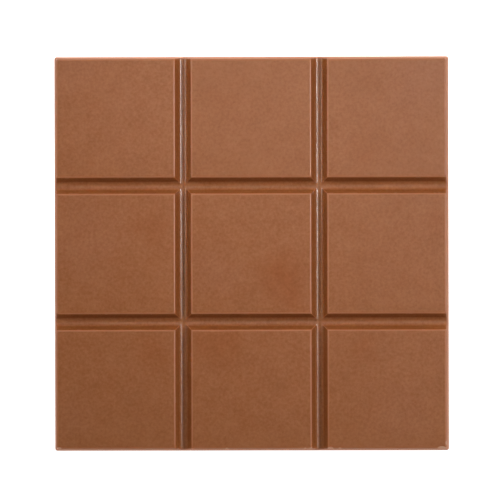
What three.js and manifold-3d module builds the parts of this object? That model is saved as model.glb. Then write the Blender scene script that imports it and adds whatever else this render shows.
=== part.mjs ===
// A square bar of moulded milk chocolate, in one piece. It was poured face down into a mould, so its front
// is the moulded side, divided by straight snapping grooves into a grid of equal squares, and its back is
// the flat poured face, which it rests on. The side walls lean in towards the front, so that the bar leaves
// its mould, and the edge of each square curves down a little before it breaks off.
//
// Millimetres, +Z up. The origin is at the middle of the back: the back lies at z = 0, the front faces +Z,
// and X and Y run along the grooves.

import * as THREE from 'three';
import { mergeVertices } from 'three/addons/utils/BufferGeometryUtils.js';
import Module from 'manifold-3d';

// The slab.
const BACK_SIDE = 90;
const THICKNESS = 10;
const WALL_DRAFT = THREE.MathUtils.degToRad(6); // lean of the side walls, from upright
const CORNER_RADIUS = 0.5; // of the four corners, seen from the front
const BACK_EDGE_RADIUS = 0.2; // where the walls meet the poured back

// The lip round each square: the flat front curves down in an arc as far as this slope, and then breaks off
// into the groove's flank or the outer wall.
const LIP_RADIUS = 1.46;
const LIP_SLOPE = THREE.MathUtils.degToRad(20);

// The grooves between the squares. Each has two straight flanks and a hollow floor.
const SQUARES_A_SIDE = 3;
const GROOVE_PITCH = 30.75; // from the middle of one groove to the middle of the next
const GROOVE_WIDTH = 4.62; // from flat to flat, with both lips
const FLANK_SLOPE = THREE.MathUtils.degToRad(68); // from the front face
const FLOOR_WIDTH = 1.88; // from the foot of one flank to the foot of the other
const FLOOR_SLOPE = THREE.MathUtils.degToRad(42); // of the floor's arc where it meets a flank

const ARC_STEPS = 4; // how finely every rounded shape is faceted: an arc has twice this many chords
const CUTTER_OVERRUN = 2; // how far a groove's cutter runs clear of the slab
const QUARTER_TURN = Math.PI / 2;

const chocolate = new THREE.MeshStandardMaterial({ color: 0x8a583c, roughness: 0.45, metalness: 0 });

const wasm = await Module();
wasm.setup();

// The slab's outline at one height: a square with rounded corners, drawn in from the back's by inset.
function outlinePoints(inset) {
  const centre = BACK_SIDE / 2 - inset - CORNER_RADIUS;
  const outline = new THREE.Shape();
  for (let corner = 0; corner < 4; corner += 1) {
    const start = corner * QUARTER_TURN;
    const middle = start + QUARTER_TURN / 2;
    const x = centre * Math.sign(Math.cos(middle));
    const y = centre * Math.sign(Math.sin(middle));
    outline.absarc(x, y, CORNER_RADIUS, start, start + QUARTER_TURN);
  }
  return outline.getPoints(ARC_STEPS);
}

// The wall in section, from the back to the front, with x outwards from the back's edge and y upwards: the
// back's rounded edge, one straight line that leans by WALL_DRAFT, and the lip.
function wallPoints() {
  const backX = -BACK_EDGE_RADIUS;
  const backY = BACK_EDGE_RADIUS;
  const lipY = THICKNESS - LIP_RADIUS;
  const lipEnd = QUARTER_TURN - LIP_SLOPE; // the angle at which the lip's arc meets the wall
  const wallFootX = backX + BACK_EDGE_RADIUS * Math.cos(WALL_DRAFT);
  const wallFootY = backY + BACK_EDGE_RADIUS * Math.sin(WALL_DRAFT);
  const wallTopX = wallFootX - (lipY + LIP_RADIUS * Math.sin(lipEnd) - wallFootY) * Math.tan(WALL_DRAFT);
  const wall = new THREE.Path();
  wall.absarc(backX, backY, BACK_EDGE_RADIUS, -QUARTER_TURN, WALL_DRAFT);
  wall.absarc(wallTopX - LIP_RADIUS * Math.cos(lipEnd), lipY, LIP_RADIUS, lipEnd, QUARTER_TURN);
  return wall.getPoints(ARC_STEPS);
}

// The slab before its grooves: one ring of points for each point of the wall's section, and a flat
// cover over the first ring and the last.
function slabGeometry() {
  const rings = wallPoints().map((wall) => outlinePoints(-wall.x).map((p) => [p.x, p.y, wall.y]));
  const around = rings[0].length;
  const index = [];
  for (let ring = 0; ring + 1 < rings.length; ring += 1) {
    for (let step = 0; step < around; step += 1) {
      const low = ring * around + step;
      const lowNext = ring * around + ((step + 1) % around);
      index.push(low, lowNext, lowNext + around, low, lowNext + around, low + around);
    }
  }
  const frontStart = (rings.length - 1) * around;
  for (const [a, b, c] of THREE.ShapeUtils.triangulateShape(outlinePoints(0), [])) {
    index.push(c, b, a);
    index.push(frontStart + a, frontStart + b, frontStart + c);
  }
  const geometry = new THREE.BufferGeometry();
  geometry.setAttribute('position', new THREE.Float32BufferAttribute(rings.flat(2), 3));
  geometry.setIndex(index);
  return geometry;
}

// The section of a groove, as the shape that cuts it: lip, flank, the floor's arc, flank and lip.
function grooveShape() {
  const halfMouth = GROOVE_WIDTH / 2;
  const lipY = THICKNESS - LIP_RADIUS;
  const lipEnd = QUARTER_TURN - LIP_SLOPE; // the angle at which the lip's arc meets the flank
  const flankRun = halfMouth - LIP_RADIUS * Math.cos(lipEnd) - FLOOR_WIDTH / 2;
  const flankFoot = lipY + LIP_RADIUS * Math.sin(lipEnd) - flankRun * Math.tan(FLANK_SLOPE);
  const floorRadius = FLOOR_WIDTH / 2 / Math.sin(FLOOR_SLOPE);
  const floorY = flankFoot + floorRadius * Math.cos(FLOOR_SLOPE);
  const down = 3 * QUARTER_TURN;
  const section = new THREE.Shape();
  section.moveTo(-halfMouth, THICKNESS + CUTTER_OVERRUN);
  section.absarc(-halfMouth, lipY, LIP_RADIUS, QUARTER_TURN, lipEnd, true);
  section.absarc(0, floorY, floorRadius, down - FLOOR_SLOPE, down + FLOOR_SLOPE);
  section.absarc(halfMouth, lipY, LIP_RADIUS, Math.PI - lipEnd, QUARTER_TURN, true);
  section.lineTo(halfMouth, THICKNESS + CUTTER_OVERRUN);
  return section;
}

// A cutter for the groove at the given distance from the middle. It runs along Y, or along X if turned.
function grooveCutter(distance, turned) {
  const length = BACK_SIDE + 2 * CUTTER_OVERRUN;
  const options = { depth: length, curveSegments: ARC_STEPS, bevelEnabled: false };
  const cutter = new THREE.ExtrudeGeometry(grooveShape(), options);
  cutter.rotateX(QUARTER_TURN);
  cutter.translate(distance, length / 2, 0);
  if (turned) {
    cutter.rotateZ(QUARTER_TURN);
  }
  return cutter;
}

function toSolid(geometry) {
  const bare = geometry.clone();
  bare.deleteAttribute('normal');
  bare.deleteAttribute('uv');
  const merged = mergeVertices(bare);
  const vertProperties = new Float32Array(merged.attributes.position.array);
  const triVerts = new Uint32Array(merged.index.array);
  return new wasm.Manifold(new wasm.Mesh({ numProp: 3, vertProperties, triVerts }));
}

function toGeometry(solid) {
  const mesh = solid.getMesh();
  const geometry = new THREE.BufferGeometry();
  geometry.setAttribute('position', new THREE.BufferAttribute(mesh.vertProperties, 3));
  geometry.setIndex(new THREE.BufferAttribute(mesh.triVerts, 1));
  geometry.computeVertexNormals();
  return geometry;
}

// The whole bar: the slab, less one groove each way between every two rows of squares.
function chocolateBar() {
  let bar = toSolid(slabGeometry());
  const grooves = SQUARES_A_SIDE - 1;
  for (let groove = 0; groove < grooves; groove += 1) {
    const distance = (groove - (grooves - 1) / 2) * GROOVE_PITCH;
    bar = bar.subtract(toSolid(grooveCutter(distance, false)));
    bar = bar.subtract(toSolid(grooveCutter(distance, true)));
  }
  const mesh = new THREE.Mesh(toGeometry(bar), chocolate);
  mesh.name = 'chocolate_bar';
  return mesh;
}

const part = new THREE.Group();
part.add(chocolateBar());

export default part;
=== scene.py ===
import math

import bmesh
import bpy
from mathutils import Euler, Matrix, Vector


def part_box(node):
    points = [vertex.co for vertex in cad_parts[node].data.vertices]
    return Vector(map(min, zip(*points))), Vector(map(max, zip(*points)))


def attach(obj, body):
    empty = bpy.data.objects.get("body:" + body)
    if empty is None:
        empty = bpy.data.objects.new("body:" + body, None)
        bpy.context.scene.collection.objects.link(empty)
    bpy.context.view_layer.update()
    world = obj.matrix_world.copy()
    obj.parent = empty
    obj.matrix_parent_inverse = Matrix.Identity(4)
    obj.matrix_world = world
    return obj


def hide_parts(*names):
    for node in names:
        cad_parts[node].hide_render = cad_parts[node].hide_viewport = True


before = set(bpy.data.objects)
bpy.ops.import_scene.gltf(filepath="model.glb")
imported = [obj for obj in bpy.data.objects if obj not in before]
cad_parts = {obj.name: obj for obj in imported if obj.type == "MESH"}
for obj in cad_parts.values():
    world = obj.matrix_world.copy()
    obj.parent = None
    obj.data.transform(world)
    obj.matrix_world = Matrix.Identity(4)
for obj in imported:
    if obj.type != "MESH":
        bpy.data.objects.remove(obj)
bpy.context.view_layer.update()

# ---------------------------------------------------------------------------------------------------------
# The camera. It looks straight down on the bar from well above it, leaning a touch towards +X. The frame is
# square, and the bar lies a little right of its middle and a little below it.
# ---------------------------------------------------------------------------------------------------------
MM = 0.001
CAMERA_DISTANCE = 800 * MM
CAMERA_LEAN = (math.radians(-0.08), math.radians(0.54))
CAMERA_ROLL = math.radians(-0.13)
CAMERA_LENS = 252.2
SENSOR_WIDTH = 36
NEAREST_SEEN = 10 * MM
FARTHEST_SEEN = 20
AIM = Vector((-0.372, 0.813, 0.0)) * MM

camera_data = bpy.data.cameras.new("camera")
camera_data.lens = CAMERA_LENS
camera_data.sensor_width = SENSOR_WIDTH
camera_data.clip_start = NEAREST_SEEN
camera_data.clip_end = FARTHEST_SEEN
camera = bpy.data.objects.new("camera", camera_data)
bpy.context.scene.collection.objects.link(camera)
leaning = Euler((*CAMERA_LEAN, 0), "XYZ").to_matrix()
rolling = Euler((0, 0, CAMERA_ROLL), "XYZ").to_matrix()
camera.location = AIM + leaning @ Vector((0, 0, CAMERA_DISTANCE))
camera.rotation_euler = (leaning @ rolling).to_euler()
bpy.context.scene.camera = camera

# ---------------------------------------------------------------------------------------------------------
# The bar. It is milk chocolate, cast in one piece in a mould with its front down, so the back is the poured
# face. The walls lean in towards the front, and two snapping grooves each way leave nine flat squares, whose
# edges curve down gently and then break off.
# ---------------------------------------------------------------------------------------------------------
BAR_LOW, BAR_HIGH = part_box("chocolate_bar")
SIDE = BAR_HIGH.x - BAR_LOW.x
THICKNESS = BAR_HIGH.z
DRAFT = math.radians(6)
CORNER_RADIUS = 0.5 * MM
CORNER_STEPS = 5
LIP_RADIUS = 1.46 * MM
LIP_SLOPE = math.radians(20)
LIP_STEPS = 5
GROOVE_PITCH = 30.75 * MM
GROOVE_WIDTH = 4.62 * MM
FLANK_SLOPE = math.radians(68)
FLOOR_WIDTH = 1.88 * MM
FLOOR_SLOPE = math.radians(42)
FLOOR_STRIPS = 13
BREAK_ROUNDING = 0.06 * MM
BREAK_STEPS = 2
BACK_ROUNDING = 0.15 * MM
BACK_STEPS = 3
OVERRUN = 2 * MM
FACING_UP = 0.5
SAME_HEIGHT = 0.001 * MM
SAME_PLACE = 0.003 * MM
SAME_PLANE = math.radians(0.5)


def pick(piece, kind, test):
    """Selects the vertices, edges or faces of the piece in edit mode that pass the test, and nothing else."""
    mesh = bmesh.from_edit_mesh(piece.data)
    mesh.normal_update()
    bpy.ops.mesh.select_mode(type={"verts": "VERT", "edges": "EDGE", "faces": "FACE"}[kind])
    bpy.ops.mesh.select_all(action="DESELECT")
    mesh = bmesh.from_edit_mesh(piece.data)
    for part in getattr(mesh, kind):
        part.select_set(bool(test(part)))
    mesh.select_flush_mode()
    bmesh.update_edit_mesh(piece.data)


def start_box(name, low, high):
    """Adds a box between two corners and leaves it in edit mode."""
    bpy.ops.object.select_all(action="DESELECT")
    bpy.ops.mesh.primitive_cube_add(size=1, location=(low + high) / 2, scale=high - low)
    bpy.ops.object.transform_apply(location=True, rotation=False, scale=True)
    piece = bpy.context.object
    piece.name = name
    piece.data.name = name
    bpy.ops.object.mode_set(mode="EDIT")
    return piece


def draw_out(piece, up, rise, share):
    """Extrudes the piece's top or bottom face by a rise, and widens or narrows the new face by a share."""
    faces = bmesh.from_edit_mesh(piece.data).faces
    end = (max if up else min)(face.calc_center_median().z for face in faces)
    pick(piece, "faces", lambda face: abs(face.calc_center_median().z - end) < SAME_HEIGHT)
    bpy.ops.mesh.extrude_region_move(TRANSFORM_OT_translate={"value": (0, 0, rise if up else -rise)})
    bpy.ops.transform.resize(value=(share[0], share[1], 1))


def take(piece):
    """Selects one piece, and nothing else, for the next step to work on."""
    bpy.ops.object.select_all(action="DESELECT")
    piece.select_set(True)
    bpy.context.view_layer.objects.active = piece


def cut_away(piece, tool, name):
    """Cuts the tool's shape out of the piece, and clears the tool away."""
    take(piece)
    cut = piece.modifiers.new(name, "BOOLEAN")
    cut.operation = "DIFFERENCE"
    cut.solver = "EXACT"
    cut.object = tool
    bpy.ops.object.modifier_apply(modifier=cut.name)
    bpy.data.objects.remove(tool)


half_side = SIDE / 2
lip_drop = LIP_RADIUS * (1 - math.cos(LIP_SLOPE))
lip_z = THICKNESS - lip_drop
bar = start_box("bar", Vector((-half_side, -half_side, 0)), Vector((half_side, half_side, lip_z)))
pick(bar, "faces", lambda face: face.normal.z > FACING_UP)
wall_top = half_side - lip_z * math.tan(DRAFT)
bpy.ops.transform.resize(value=(wall_top / half_side, wall_top / half_side, 1))
pick(bar, "edges", lambda edge: abs(edge.verts[0].co.z - edge.verts[1].co.z) > THICKNESS / 2)
bpy.ops.mesh.bevel(offset=CORNER_RADIUS, segments=CORNER_STEPS, affect="EDGES")
front_share = 1 - lip_drop / math.tan(LIP_SLOPE) / wall_top
draw_out(bar, True, lip_drop, (front_share, front_share))
bpy.ops.object.mode_set(mode="OBJECT")

# Each groove is cut by a long bar of its own section: two slopes at the top for the lips, two straight
# flanks, and a hollow floor. The four cuts meet in creases that run in from the corners of the squares.
lip_half = GROOVE_WIDTH / 2 - LIP_RADIUS * math.sin(LIP_SLOPE)
floor_half = FLOOR_WIDTH / 2
floor_radius = floor_half / math.sin(FLOOR_SLOPE)
cutter = start_box(
    "groove cutter",
    Vector((-lip_half, -half_side - OVERRUN, lip_z)),
    Vector((lip_half, half_side + OVERRUN, THICKNESS + OVERRUN)),
)
pick(cutter, "faces", lambda face: face.normal.z > FACING_UP)
mouth_half = lip_half + (lip_drop + OVERRUN) / math.tan(LIP_SLOPE)
bpy.ops.transform.resize(value=(mouth_half / lip_half, 1, 1))
draw_out(cutter, False, (lip_half - floor_half) * math.tan(FLANK_SLOPE), (floor_half / lip_half, 1))
for strip in range(FLOOR_STRIPS, 1, -2):
    slope = FLOOR_SLOPE * strip / FLOOR_STRIPS
    next_slope = FLOOR_SLOPE * (strip - 2) / FLOOR_STRIPS
    drop = floor_radius * (math.cos(next_slope) - math.cos(slope))
    draw_out(cutter, False, drop, (math.sin(next_slope) / math.sin(slope), 1))
bpy.ops.object.mode_set(mode="OBJECT")

for turn in (0, math.pi / 2):
    for side in (-1, 1):
        take(cutter)
        bpy.ops.object.duplicate()
        copy = bpy.context.object
        copy.location.x = side * GROOVE_PITCH / 2
        bpy.ops.object.transform_apply(location=True)
        copy.rotation_euler.z = turn
        bpy.ops.object.transform_apply(rotation=True)
        cut_away(bar, copy, "groove")
bpy.data.objects.remove(cutter)

bpy.ops.object.mode_set(mode="EDIT")
bpy.ops.mesh.select_all(action="SELECT")
bpy.ops.mesh.remove_doubles(threshold=SAME_PLACE)
bpy.ops.mesh.dissolve_limited(angle_limit=SAME_PLANE)

# The slopes round each square become its curved lips, and then every sharp edge loses its sharpness. The
# lips stop just short of each other, and the edges at the back are the ones within a millimetre of it.
LIP_TURN = (0.8 * LIP_SLOPE, 1.2 * LIP_SLOPE)
LIP_FIT = 0.98
BREAK_TURN = math.radians(30)
BACK_TURN = math.radians(60)
BACK_ZONE = 1 * MM


def is_lip(edge):
    """Tells an edge where a square's flat front turns down into its lip."""
    on_top = min(corner.co.z for corner in edge.verts) > THICKNESS - lip_drop / 2
    return on_top and LIP_TURN[0] < edge.calc_face_angle(0) < LIP_TURN[1]


def is_break(edge):
    """Tells a sharp edge of the front: a break of a lip, a foot or a crease of a groove, or a corner."""
    return edge.calc_face_angle(0) > BREAK_TURN and edge.verts[0].co.z > BACK_ZONE


def is_back(edge):
    """Tells an edge that runs round the back."""
    return edge.calc_face_angle(0) > BACK_TURN and max(corner.co.z for corner in edge.verts) < BACK_ZONE


lip_width = LIP_FIT * LIP_RADIUS * math.tan(LIP_SLOPE / 2)
for test, width, steps in (
    (is_lip, lip_width, LIP_STEPS),
    (is_break, BREAK_ROUNDING, BREAK_STEPS),
    (is_back, BACK_ROUNDING, BACK_STEPS),
):
    pick(bar, "edges", test)
    bpy.ops.mesh.bevel(offset=width, segments=steps, affect="EDGES", clamp_overlap=True)
bpy.ops.object.mode_set(mode="OBJECT")

# Small chips lie along the edge of the front, most of them on the side at -Y. Each is bitten out by a ragged
# lump that sits on the edge. A row gives a lump's place along X and Y, its length and its depth, in mm.
CHIPS = (
    (-43.55, -43.85, 0.9, 0.2),
    (-5.6, -43.98, 0.5, 0.16),
    (12.1, -43.98, 0.4, 0.16),
    (13.5, -43.98, 0.7, 0.2),
    (17.75, -43.96, 1.1, 0.26),
    (19.9, -43.98, 0.5, 0.17),
    (42.9, -43.9, 1.4, 0.28),
    (43.98, -42.75, 0.7, 0.2),
    (43.98, -16.8, 0.7, 0.17),
)
CHIP_SEED = 5
CHIP_SMOOTHNESS = 3
LUMP_LEVEL = 2


def chip_size(x, y, length, depth):
    """Gives the half sizes of the lump that bites a chip out, whose length is along the edge it sits on."""
    return Vector((length / 2, depth, depth) if abs(y) > abs(x) else (depth, length / 2, depth)) * MM


bpy.ops.object.select_all(action="DESELECT")
lumps = []
for number, (x, y, length, depth) in enumerate(CHIPS):
    size = chip_size(x, y, length, depth)
    bpy.ops.mesh.primitive_ico_sphere_add(
        subdivisions=LUMP_LEVEL, radius=1, location=(x * MM, y * MM, lip_z), scale=size)
    bpy.ops.object.transform_apply(location=True, rotation=False, scale=True)
    lumps.append(bpy.context.object)
    bpy.ops.object.mode_set(mode="EDIT")
    bpy.ops.mesh.select_all(action="SELECT")
    bpy.ops.transform.vertex_random(offset=depth / CHIP_SMOOTHNESS * MM, seed=CHIP_SEED + number)
    bpy.ops.object.mode_set(mode="OBJECT")
    bpy.ops.object.select_all(action="DESELECT")
for lump in lumps:
    lump.select_set(True)
bpy.context.view_layer.objects.active = lumps[0]
bpy.ops.object.join()
cut_away(bar, lumps[0], "chips")

# The surface is gone over with a fine grid, which the slight unevenness of the cast chocolate moves inwards
# here and there.
GRID = 1.1 * MM
LEVEL = 0.9999
UNEVENNESS = 0.02 * MM
UNEVEN_PATCH = 9 * MM
SMOOTHED_TURN = math.radians(30)
bpy.ops.object.mode_set(mode="EDIT")
front_least = THICKNESS - lip_drop / 2
pick(bar, "faces", lambda face: face.normal.z > LEVEL and face.calc_center_median().z > front_least)
bpy.ops.mesh.inset(thickness=GRID / 4, use_individual=True)
grid_lines = round(SIDE / GRID)
for line in range(1, grid_lines):
    offset = -half_side + SIDE * line / grid_lines
    for along in ((1, 0, 0), (0, 1, 0)):
        bpy.ops.mesh.select_all(action="SELECT")
        bpy.ops.mesh.bisect(plane_co=Vector(along) * offset, plane_no=along)
bpy.ops.object.mode_set(mode="OBJECT")

take(bar)
clouds = bpy.data.textures.new("unevenness", "CLOUDS")
clouds.noise_scale = UNEVEN_PATCH
clouds.noise_depth = 0
uneven = bar.modifiers.new("unevenness", "DISPLACE")
uneven.texture = clouds
uneven.texture_coords = "LOCAL"
uneven.strength = UNEVENNESS
uneven.mid_level = 1
bpy.ops.object.modifier_apply(modifier=uneven.name)
bpy.ops.object.shade_smooth_by_angle(angle=SMOOTHED_TURN)

# Milk chocolate: a satin brown that is cloudy close to, with fine grains of milk and sugar. A few patches
# are darker where it cooled otherwise, and a few paler where a little bloom lies on it. A row of PATCHES
# gives a patch's place along X and Y and its radius in mm, its strength, and what it multiplies the brown by.
BROWN_DARK = (0.229, 0.0675, 0.0162, 1)
BROWN_LIGHT = (0.360, 0.1375, 0.0525, 1)
# A paler brown: painted highlight on the lips and the creases.
HIGHLIGHT_BROWN = (0.385, 0.127, 0.042, 1)
# A warmer brown: painted light round the rim and on the walls.
RIM_LIGHT_BROWN = (0.320, 0.110, 0.038, 1)
BROWN_CHIP = (0.54, 0.30, 0.19, 1)
COOLED = (0.925, 0.79, 0.60, 1)
BLOOMED = (1.02, 1.07, 1.3, 1)
# A darker, redder tint for the grooves' flanks: painted shade.
FLANK_SHADE_TINT = (0.90, 0.80, 0.66, 1)
CLOUD_SIZE = 4.5 * MM
CLOUD_DEPTH = 0.22
GRAIN_SIZE = 0.7 * MM
GRAIN_DEPTH = 0.6
PATCH_WANDER = 10 * MM
PATCHES = (
    (7, -6, 9, 1.0, COOLED),
    (10, -11, 5, 0.4, COOLED),
    (-8, -21, 8, 0.7, COOLED),
    (-23, 6, 7, 0.4, COOLED),
    (-22, -22, 6, 0.5, COOLED),
    (25, -22, 6, 0.5, COOLED),
    (-7, 35, 7, 0.3, COOLED),
    (26, 24, 8, 0.4, COOLED),
    (43, 7, 6, 0.4, COOLED),
    (-8, -4, 9, 0.6, BLOOMED),
    (-38, 3, 16, 0.6, BLOOMED),
    (40, 41, 14, 0.8, BLOOMED),
    (-42, 42, 10, 0.5, BLOOMED),
    (34, -37, 12, 0.5, BLOOMED),
    (-41, -38, 9, 0.4, BLOOMED),
)

chocolate = bpy.data.materials.new("milk_chocolate")
chocolate.use_nodes = True
tree = chocolate.node_tree
shader = tree.nodes["Principled BSDF"]


def add_node(kind, inputs, **settings):
    """Adds a node to the tree. Each input is a value, or the output of another node."""
    node = tree.nodes.new(kind)
    for name, value in settings.items():
        setattr(node, name, value)
    for name, value in inputs.items():
        if isinstance(value, bpy.types.NodeSocket):
            tree.links.new(value, node.inputs[name])
        else:
            node.inputs[name].default_value = value
    return node


def calc(operation, *values):
    """Does a sum with numbers, or with outputs of other nodes."""
    return add_node("ShaderNodeMath", dict(enumerate(values)), operation=operation).outputs["Value"]


def calc_vector(operation, *values, result="Vector"):
    """Does a sum with vectors, and gives its result: a vector, or a value such as a length."""
    return add_node("ShaderNodeVectorMath", dict(enumerate(values)), operation=operation).outputs[result]


def add_ramp(value, low, high, to_low, to_high):
    """Carries a value from one range smoothly over to another."""
    settings = {"Value": value, "From Min": low, "From Max": high, "To Min": to_low, "To Max": to_high}
    return add_node("ShaderNodeMapRange", settings, interpolation_type="SMOOTHSTEP").outputs["Result"]


def add_noise(size, detail, roughness, seed):
    """Adds a noise of a size, on the bar's own coordinates, and gives its outputs."""
    shifted = calc_vector("ADD", place, (seed, 0, 0))
    settings = {"Vector": shifted, "Scale": 1 / size, "Detail": detail, "Roughness": roughness}
    return add_node("ShaderNodeTexNoise", settings).outputs


def blend(share, below, above, way="MIX"):
    """Blends two colours by a share, or multiplies the first by the second."""
    node = add_node("ShaderNodeMix", {"Factor": share}, data_type="RGBA", blend_type=way)
    for slot, colour in ((6, below), (7, above)):
        if isinstance(colour, bpy.types.NodeSocket):
            tree.links.new(colour, node.inputs[slot])
        else:
            node.inputs[slot].default_value = colour
    return node.outputs[2]


place = add_node("ShaderNodeTexCoord", {}).outputs["Object"]
cloudiness = calc("MULTIPLY", add_noise(CLOUD_SIZE, 2, 0.6, 0.0)["Fac"], 2 * CLOUD_DEPTH)
graininess = calc("MULTIPLY", add_noise(GRAIN_SIZE, 3, 0.7, 0.17)["Fac"], 2 * GRAIN_DEPTH)
tone = calc("ADD", calc("ADD", cloudiness, graininess), 0.5 - CLOUD_DEPTH - GRAIN_DEPTH)
brown = blend(tone, BROWN_DARK, BROWN_LIGHT)

centred = calc_vector("ADD", add_noise(PATCH_WANDER, 3, 0.6, 0.31)["Color"], (-0.5, -0.5, -0.5))
wandering = calc_vector("ADD", place, calc_vector("MULTIPLY", centred, (PATCH_WANDER,) * 3))
for x, y, radius, strength, tint in PATCHES:
    away = calc_vector("DISTANCE", wandering, (x * MM, y * MM, THICKNESS), result="Value")
    brown = blend(add_ramp(away, 0, radius * MM, strength, 0), brown, tint, "MULTIPLY")

# The shares below tell where a point lies, by its distance inside the walls and beyond the grooves' breaks.
PALE_EDGE = 0.5 * MM
RIM_LIGHT_REACH = 0.65 * MM
PALE_CREASE = 0.2 * MM
FLANK_FADE = 0.15 * MM
position = add_node("ShaderNodeSeparateXYZ", {"Vector": place}).outputs
from_middle = [calc("ABSOLUTE", position[axis]) for axis in "XY"]
from_groove = [calc("ABSOLUTE", calc("SUBTRACT", along, GROOVE_PITCH / 2)) for along in from_middle]
from_rim = calc("MINIMUM", *[calc("SUBTRACT", wall_top, along) for along in from_middle])
past_break = calc("MINIMUM", *[calc("SUBTRACT", along, lip_half) for along in from_groove])
on_front = calc("GREATER_THAN", position["Z"], THICKNESS / 2)
on_wall = add_ramp(from_rim, -2 * BREAK_ROUNDING, 0, 1, 0)

in_square = calc("MINIMUM", from_rim, past_break)
near_edge = add_ramp(in_square, 0, PALE_EDGE, 1, 0)
above_break = calc("GREATER_THAN", in_square, -BREAK_ROUNDING)
on_lip = calc("MULTIPLY", calc("MULTIPLY", near_edge, above_break), on_front)

in_groove = calc("MULTIPLY", calc("LESS_THAN", past_break, 0), calc("SUBTRACT", on_front, on_wall))
flank_foot = floor_half - lip_half
above_foot = add_ramp(past_break, flank_foot - FLANK_FADE, flank_foot + FLANK_FADE, 0, 1)
shaded_flank = calc("MULTIPLY", above_foot, in_groove)

from_crossing = calc("MAXIMUM", *from_groove)
along_crease = calc("MULTIPLY", add_ramp(from_crossing, floor_half / 2, floor_half, 0, 1),
                    calc("LESS_THAN", from_crossing, lip_half))
off_crease = calc("ABSOLUTE", calc("SUBTRACT", *from_groove))
near_crease = calc("MULTIPLY", add_ramp(off_crease, 0, PALE_CREASE, 1, 0), along_crease)
on_crease = calc("MULTIPLY", near_crease, on_front)

# The grooves' flanks are darker and redder: painted shade, for the shade that lies in the grooves. The lips
# of the squares and the creases where two grooves meet are paler: a painted highlight, for the light their
# curves catch. Round the rim, the edge of the top and the walls are a warmer brown: painted light, for the
# light that the white floor throws on the walls. The chips show the dry, pale inside.
CHIP_REACH = (1.1, 1.6)
# Painted shade on the grooves' flanks.
brown = blend(shaded_flank, brown, FLANK_SHADE_TINT, "MULTIPLY")
# Painted highlight on the lips of the squares and on the creases.
brown = blend(calc("MAXIMUM", on_lip, on_crease), brown, HIGHLIGHT_BROWN)
# Painted light round the rim and on the walls.
brown = blend(add_ramp(from_rim, -PALE_EDGE, RIM_LIGHT_REACH, 1, 0), brown, RIM_LIGHT_BROWN)
chipped = 0.0
for x, y, length, depth in CHIPS:
    size = tuple(chip_size(x, y, length, depth))
    offset = calc_vector("SUBTRACT", place, (x * MM, y * MM, lip_z))
    away = calc_vector("LENGTH", calc_vector("DIVIDE", offset, size), result="Value")
    chipped = calc("MAXIMUM", chipped, add_ramp(away, *CHIP_REACH, 1, 0))
brown = blend(chipped, brown, BROWN_CHIP)
tree.links.new(brown, shader.inputs["Base Color"])

# It is satin on the squares, and glossier in the grooves, where the mould's ridges are polished most. The
# lips, the walls and the chips are duller, and the rubbed walls have a warm sheen. Light enters it a little.
ROUGHNESS = (0.22, 0.262)
ROUGHNESS_NOISE = (0.3, 0.7)
GROOVE_POLISH = 0.08
WALL_DULLNESS = 0.4
LIP_DULLNESS = 0.1
CHIP_DULLNESS = 0.3
BUMP_SIZE = 0.5 * MM
BUMP_DEPTH = 0.005 * MM
BUMP_STRENGTH = 0.5
GROOVE_SMOOTHNESS = 0.4
SHEEN = (1.0, 0.50, 0.34, 1)
SHEEN_WEIGHT = 0.38
SHEEN_ROUGHNESS = 0.3
DEPTH_WEIGHT = 0.3
DEPTH_COLOUR = (1.0, 0.45, 0.25)
DEPTH = 0.35 * MM
satin = add_ramp(add_noise(CLOUD_SIZE, 4, 0.7, 0.57)["Fac"], *ROUGHNESS_NOISE, *ROUGHNESS)
satin = calc("SUBTRACT", satin, calc("MULTIPLY", in_groove, GROOVE_POLISH))
dullness = calc("MULTIPLY", on_wall, WALL_DULLNESS)
for share, amount in ((on_lip, LIP_DULLNESS), (chipped, CHIP_DULLNESS)):
    dullness = calc("MAXIMUM", dullness, calc("MULTIPLY", share, amount))
tree.links.new(calc("ADD", satin, dullness), shader.inputs["Roughness"])

bumps = add_noise(BUMP_SIZE, 3, 0.6, 0.83)["Fac"]
bumpiness = calc("SUBTRACT", BUMP_STRENGTH, calc("MULTIPLY", in_groove, GROOVE_SMOOTHNESS))
bump = add_node("ShaderNodeBump", {"Height": bumps, "Strength": bumpiness, "Distance": BUMP_DEPTH})
tree.links.new(bump.outputs["Normal"], shader.inputs["Normal"])

rubbed = add_ramp(from_rim, -2 * BREAK_ROUNDING, PALE_EDGE, SHEEN_WEIGHT, 0)
tree.links.new(rubbed, shader.inputs["Sheen Weight"])
shader.inputs["Sheen Roughness"].default_value = SHEEN_ROUGHNESS
shader.inputs["Sheen Tint"].default_value = SHEEN
shader.inputs["Subsurface Weight"].default_value = DEPTH_WEIGHT
shader.inputs["Subsurface Radius"].default_value = DEPTH_COLOUR
shader.inputs["Subsurface Scale"].default_value = DEPTH
bar.data.materials.append(chocolate)

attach(bar, "root")
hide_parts("chocolate_bar")

# ---------------------------------------------------------------------------------------------------------
# The floor. It is a plain white studio floor just under the bar, lit up so far that no shadow shows on it.
# It isn't part of the bar, and the bar doesn't mirror it.
# ---------------------------------------------------------------------------------------------------------
FLOOR_SIZE = 14
FLOOR_GAP = 0.02 * MM
FLOOR_COLOUR = (0.9, 0.9, 0.9, 1)
FLOOR_ROUGHNESS = 0.8
FLOOR_GLOW = (1, 1, 1, 1)
FLOOR_GLOW_STRENGTH = 1.0

bpy.ops.object.select_all(action="DESELECT")
bpy.ops.mesh.primitive_plane_add(size=FLOOR_SIZE, location=(0, 0, -FLOOR_GAP))
floor = bpy.context.object
floor.name = "floor"
floor.visible_glossy = False
floor_material = bpy.data.materials.new("floor")
floor_material.use_nodes = True
floor_shader = floor_material.node_tree.nodes["Principled BSDF"]
floor_shader.inputs["Base Color"].default_value = FLOOR_COLOUR
floor_shader.inputs["Roughness"].default_value = FLOOR_ROUGHNESS
floor_shader.inputs["Emission Color"].default_value = FLOOR_GLOW
floor_shader.inputs["Emission Strength"].default_value = FLOOR_GLOW_STRENGTH
floor.data.materials.append(floor_material)

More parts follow.
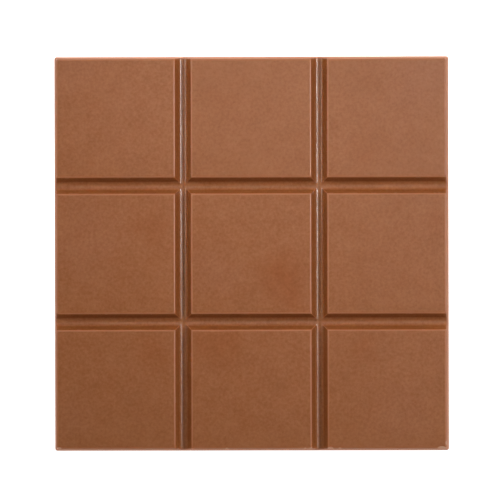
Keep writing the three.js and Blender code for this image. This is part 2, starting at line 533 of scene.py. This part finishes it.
# ---------------------------------------------------------------------------------------------------------
# The light. Soft boxes stand round the bar and above it, in a pale room. The narrow strips draw the thin
# highlights on the lips and on the floors of the grooves, and the low boxes light the walls.
# ---------------------------------------------------------------------------------------------------------
BEAM_SPREAD = math.radians(19)
BEAM_AIM = Vector((4, 20, 0)) * MM
ROOM_COLOUR = (1, 1, 1, 1)
ROOM_STRENGTH = 0.135


def softbox(name, azimuth, elevation, distance, size, radiance):
    """Adds a soft box that faces the bar, at degrees from +Y towards +X and degrees above the floor.

    The distance and the size are in metres, and the radiance is what a mirror would show of it."""
    data = bpy.data.lights.new(name, "AREA")
    data.shape = "RECTANGLE"
    data.size, data.size_y = size
    data.energy = radiance * math.pi * size[0] * size[1]
    lamp = bpy.data.objects.new(name, data)
    bpy.context.scene.collection.objects.link(lamp)
    turn, rise = math.radians(azimuth), math.radians(elevation)
    way = Vector((math.sin(turn) * math.cos(rise), math.cos(turn) * math.cos(rise), math.sin(rise)))
    lamp.location = way * distance
    lamp.rotation_euler = (-way).to_track_quat("-Z", "Y").to_euler()
    lamp.visible_camera = False
    return lamp


softbox("long east strip", 80, 50, 0.6, (0.3, 0.03), 21)
softbox("near east strip", 70, 50, 0.35, (0.18, 0.0175), 38)
softbox("long west strip", 293, 49, 0.6, (0.3, 0.03), 17)
softbox("near west", 282, 50, 0.35, (0.15, 0.12), 0.85)
softbox("low north", 0, 30, 0.16, (0.1, 0.08), 0.53)
softbox("high north", 0, 50, 0.25, (0.15, 0.12), 0.78)
softbox("near top", 10, 75, 0.3, (0.15, 0.12), 0.49)
softbox("top north", 0, 81, 0.6, (0.12, 0.12), 0.52)
softbox("top east", 90, 81, 0.6, (0.12, 0.12), 0.55)
softbox("high north-east", 45, 67, 0.6, (0.194, 0.18), 0.8)
softbox("high east", 90, 67, 0.6, (0.194, 0.18), 1.3)
softbox("near east", 60, 50, 0.35, (0.15, 0.12), 0.55)
softbox("high north-west", 315, 50, 0.6, (0.32, 0.18), 0.1)
softbox("low north-west", 315, 15, 0.6, (0.48, 0.18), 1.3)
softbox("low south", 180, 15, 0.6, (0.48, 0.18), 1.0)
beam = softbox("beam", 315, 50, 0.5, (0.08, 0.08), 0.53)
beam.data.spread = BEAM_SPREAD
beam.rotation_euler = (BEAM_AIM - beam.location).to_track_quat("-Z", "Y").to_euler()

world = bpy.data.worlds.new("room")
world.use_nodes = True
room = world.node_tree.nodes["Background"]
room.inputs["Color"].default_value = ROOM_COLOUR
room.inputs["Strength"].default_value = ROOM_STRENGTH
bpy.context.scene.world = world
bpy.context.scene.view_settings.view_transform = "Standard"
